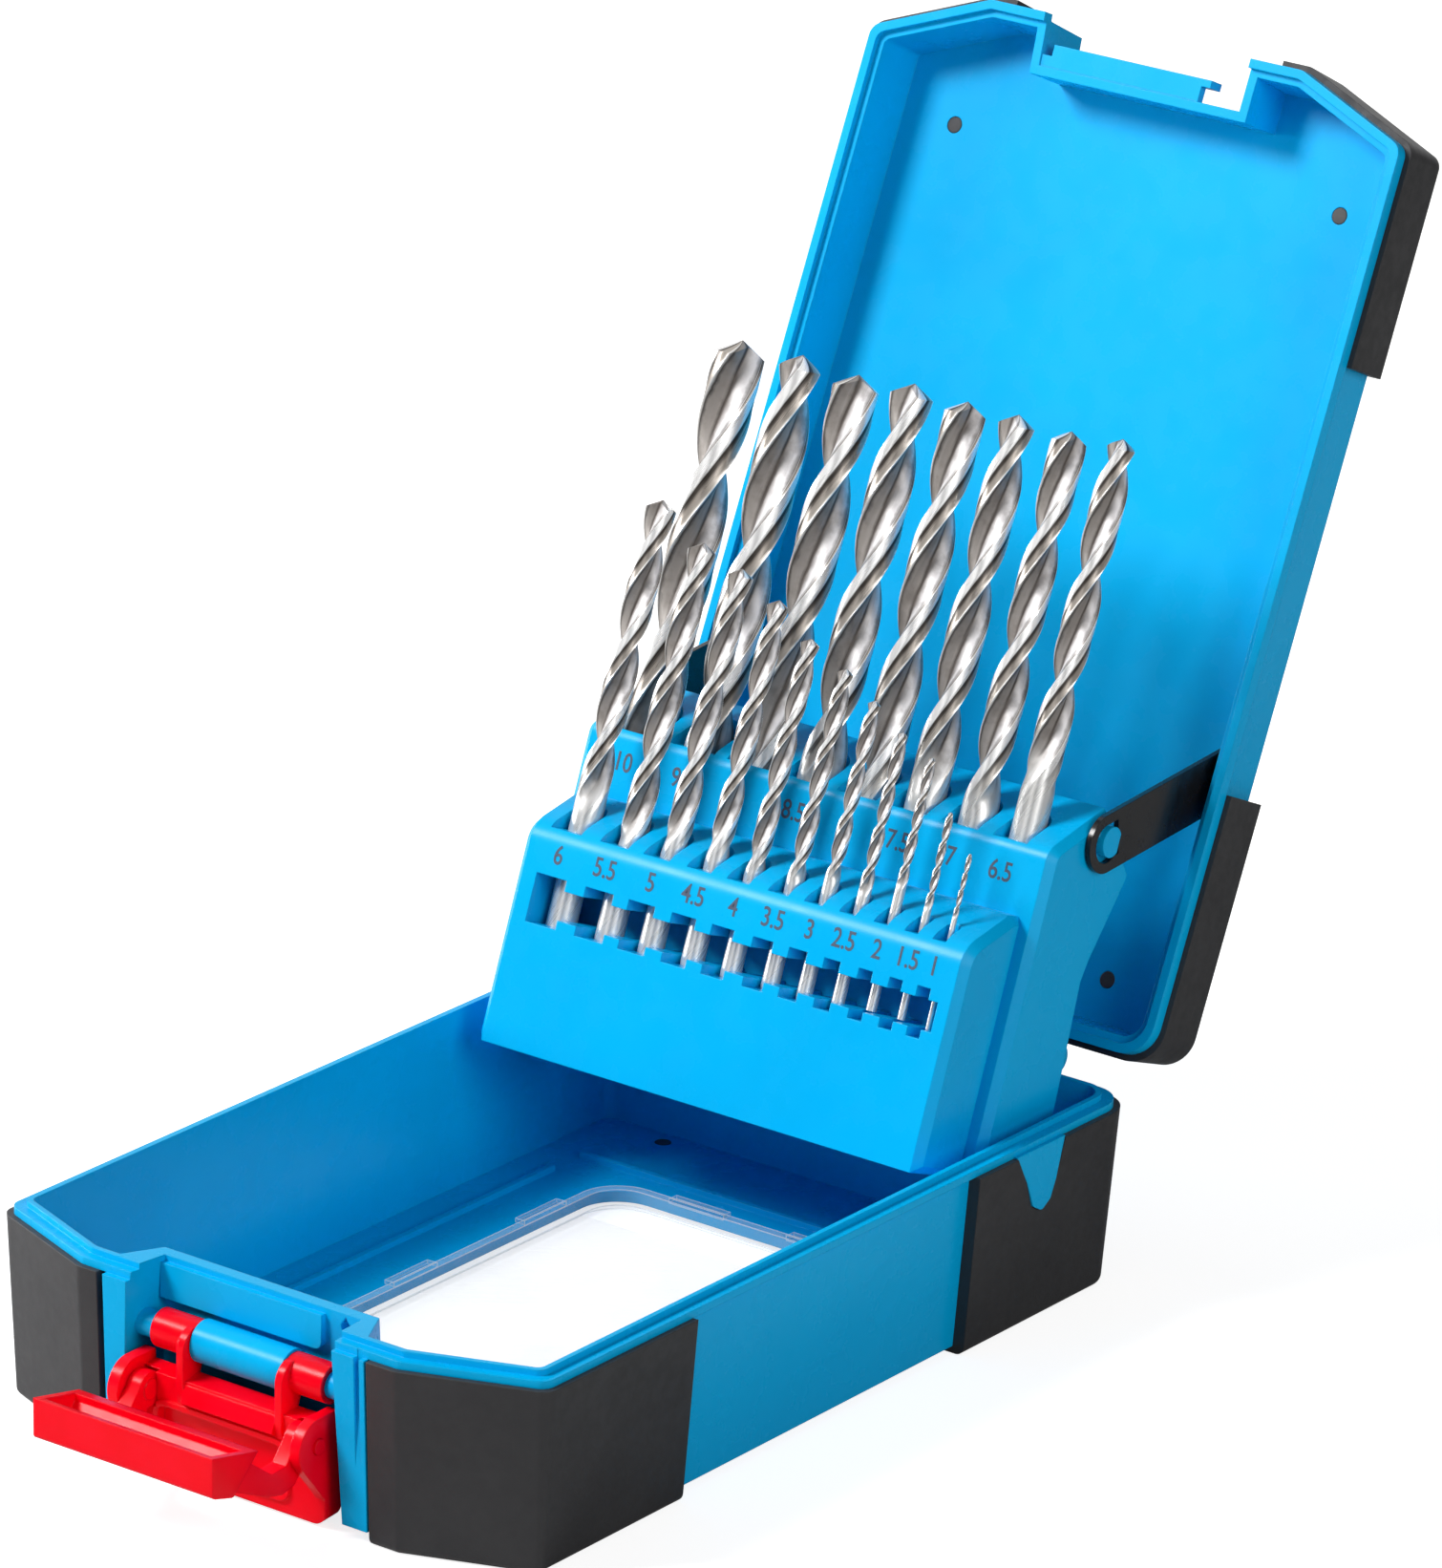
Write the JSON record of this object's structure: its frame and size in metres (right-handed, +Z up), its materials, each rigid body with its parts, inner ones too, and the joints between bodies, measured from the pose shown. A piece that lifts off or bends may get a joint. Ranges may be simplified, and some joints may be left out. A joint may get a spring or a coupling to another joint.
{
  "type": "drill bit case",
  "caption": "Hinged plastic case with corner guards, a front toggle latch, a window in its floor and a rack that lifts its twist drill bits upright as the lid opens.",
  "frame": {"origin": "centre of the tray's footprint on the surface it rests on", "axes": "X to the right seen from the latch, Y from the latch to the hinge, Z up"},
  "size_m": [0.126, 0.316, 0.217],
  "materials": {
    "blue_plastic": "semi-gloss moulded",
    "dark_plastic": "satin soft-touch",
    "clear_plastic": "clear polished",
    "red_plastic": "glossy moulded",
    "black_plastic": "glossy",
    "pin_steel": "drawn wire",
    "drill_steel": "bright ground"
  },
  "bodies": {
    "tray": {"base_tray": "blue_plastic", "window_panel": "clear_plastic", "tray_guard_front_left": "dark_plastic", "tray_guard_front_right": "dark_plastic", "tray_guard_rear_left": "dark_plastic", "tray_guard_rear_right": "dark_plastic", "hinge_pin": "pin_steel"},
    "lid": {"lid_shell": "blue_plastic", "lid_guard_front_left": "dark_plastic", "lid_guard_front_right": "dark_plastic", "lid_guard_rear_left": "dark_plastic", "lid_guard_rear_right": "dark_plastic"},
    "rack": {"front_bit_rack": "blue_plastic", "rear_bit_rack": "blue_plastic"},
    "link_left_arm": {"link_left": "black_plastic"},
    "link_right_arm": {"link_right": "black_plastic"},
    "lever": {"latch_lever": "red_plastic"},
    "catch": {"latch_catch": "red_plastic"},
    "bit_6mm_body": {"bit_6mm": "drill_steel"},
    "bit_5_5mm_body": {"bit_5_5mm": "drill_steel"},
    "bit_5mm_body": {"bit_5mm": "drill_steel"},
    "bit_4_5mm_body": {"bit_4_5mm": "drill_steel"},
    "bit_4mm_body": {"bit_4mm": "drill_steel"},
    "bit_3_5mm_body": {"bit_3_5mm": "drill_steel"},
    "bit_3mm_body": {"bit_3mm": "drill_steel"},
    "bit_2_5mm_body": {"bit_2_5mm": "drill_steel"},
    "bit_2mm_body": {"bit_2mm": "drill_steel"},
    "bit_1_5mm_body": {"bit_1_5mm": "drill_steel"},
    "bit_1mm_body": {"bit_1mm": "drill_steel"},
    "bit_10mm_body": {"bit_10mm": "drill_steel"},
    "bit_9_5mm_body": {"bit_9_5mm": "drill_steel"},
    "bit_9mm_body": {"bit_9mm": "drill_steel"},
    "bit_8_5mm_body": {"bit_8_5mm": "drill_steel"},
    "bit_8mm_body": {"bit_8mm": "drill_steel"},
    "bit_7_5mm_body": {"bit_7_5mm": "drill_steel"},
    "bit_7mm_body": {"bit_7mm": "drill_steel"},
    "bit_6_5mm_body": {"bit_6_5mm": "drill_steel"}
  },
  "joints": [
    {"name": "lid_hinge", "type": "hinge", "parent": "tray", "child": "lid", "pos_m": [0, 0.09915, 0.0389], "axis": [1, 0, 0], "range_deg": [0, 113.6]},
    {"name": "rack_pivot", "type": "hinge", "parent": "tray", "child": "rack", "pos_m": [0, 0.0636, 0.03], "axis": [1, 0, 0], "range_deg": [0, 110]},
    {"name": "link_left_pivot", "type": "hinge", "parent": "lid", "child": "link_left_arm", "pos_m": [-0.0584, 0.13037, 0.09329], "axis": [1, 0, 0], "range_deg": [-108.6, 0]},
    {"name": "link_right_pivot", "type": "hinge", "parent": "lid", "child": "link_right_arm", "pos_m": [0.0584, 0.13037, 0.09329], "axis": [1, 0, 0], "range_deg": [-108.6, 0]},
    {"name": "lever_swing", "type": "hinge", "parent": "tray", "child": "lever", "pos_m": [0, -0.0905, 0.027], "axis": [-1, 0, 0], "range_deg": [0, 80]},
    {"name": "catch_fold", "type": "hinge", "parent": "lever", "child": "catch", "pos_m": [0, -0.09653, 0.01737], "axis": [1, 0, 0], "range_deg": [-95, 0]},
    {"name": "bit_6mm_slide", "type": "slide", "parent": "rack", "child": "bit_6mm_body", "axis": [0, -0.3404, -0.9403], "range_m": [-0.0386, 0]},
    {"name": "bit_5_5mm_slide", "type": "slide", "parent": "rack", "child": "bit_5_5mm_body", "axis": [0, -0.3404, -0.9403], "range_m": [-0.0445, 0]},
    {"name": "bit_5mm_slide", "type": "slide", "parent": "rack", "child": "bit_5mm_body", "axis": [0, -0.3404, -0.9403], "range_m": [-0.0403, 0]},
    {"name": "bit_4_5mm_slide", "type": "slide", "parent": "rack", "child": "bit_4_5mm_body", "axis": [0, -0.3404, -0.9403], "range_m": [-0.0382, 0]},
    {"name": "bit_4mm_slide", "type": "slide", "parent": "rack", "child": "bit_4mm_body", "axis": [0, -0.3404, -0.9403], "range_m": [-0.0386, 0]},
    {"name": "bit_3_5mm_slide", "type": "slide", "parent": "rack", "child": "bit_3_5mm_body", "axis": [0, -0.3404, -0.9403], "range_m": [-0.0373, 0]},
    {"name": "bit_3mm_slide", "type": "slide", "parent": "rack", "child": "bit_3mm_body", "axis": [0, -0.3404, -0.9403], "range_m": [-0.0326, 0]},
    {"name": "bit_2_5mm_slide", "type": "slide", "parent": "rack", "child": "bit_2_5mm_body", "axis": [0, -0.3404, -0.9403], "range_m": [-0.0329, 0]},
    {"name": "bit_2mm_slide", "type": "slide", "parent": "rack", "child": "bit_2mm_body", "axis": [0, -0.3404, -0.9403], "range_m": [-0.028, 0]},
    {"name": "bit_1_5mm_slide", "type": "slide", "parent": "rack", "child": "bit_1_5mm_body", "axis": [0, -0.3404, -0.9403], "range_m": [-0.0279, 0]},
    {"name": "bit_1mm_slide", "type": "slide", "parent": "rack", "child": "bit_1mm_body", "axis": [0, -0.3404, -0.9403], "range_m": [-0.0283, 0]},
    {"name": "bit_10mm_slide", "type": "slide", "parent": "rack", "child": "bit_10mm_body", "axis": [0, -0.3404, -0.9403], "range_m": [-0.0685, 0]},
    {"name": "bit_9_5mm_slide", "type": "slide", "parent": "rack", "child": "bit_9_5mm_body", "axis": [0, -0.3404, -0.9403], "range_m": [-0.0604, 0]},
    {"name": "bit_9mm_slide", "type": "slide", "parent": "rack", "child": "bit_9mm_body", "axis": [0, -0.3404, -0.9403], "range_m": [-0.0614, 0]},
    {"name": "bit_8_5mm_slide", "type": "slide", "parent": "rack", "child": "bit_8_5mm_body", "axis": [0, -0.3404, -0.9403], "range_m": [-0.0524, 0]},
    {"name": "bit_8mm_slide", "type": "slide", "parent": "rack", "child": "bit_8mm_body", "axis": [0, -0.3404, -0.9403], "range_m": [-0.0532, 0]},
    {"name": "bit_7_5mm_slide", "type": "slide", "parent": "rack", "child": "bit_7_5mm_body", "axis": [0, -0.3404, -0.9403], "range_m": [-0.0452, 0]},
    {"name": "bit_7mm_slide", "type": "slide", "parent": "rack", "child": "bit_7mm_body", "axis": [0, -0.3404, -0.9403], "range_m": [-0.0458, 0]},
    {"name": "bit_6_5mm_slide", "type": "slide", "parent": "rack", "child": "bit_6_5mm_body", "axis": [0, -0.3404, -0.9403], "range_m": [-0.0368, 0]}
  ],
  "couplings": [
    {"joint": "rack_pivot", "follows": "lid_hinge", "ratio": 0.96743},
    {"joint": "link_left_pivot", "follows": "lid_hinge", "ratio": -0.95511},
    {"joint": "link_right_pivot", "follows": "lid_hinge", "ratio": -0.95511}
  ]
}
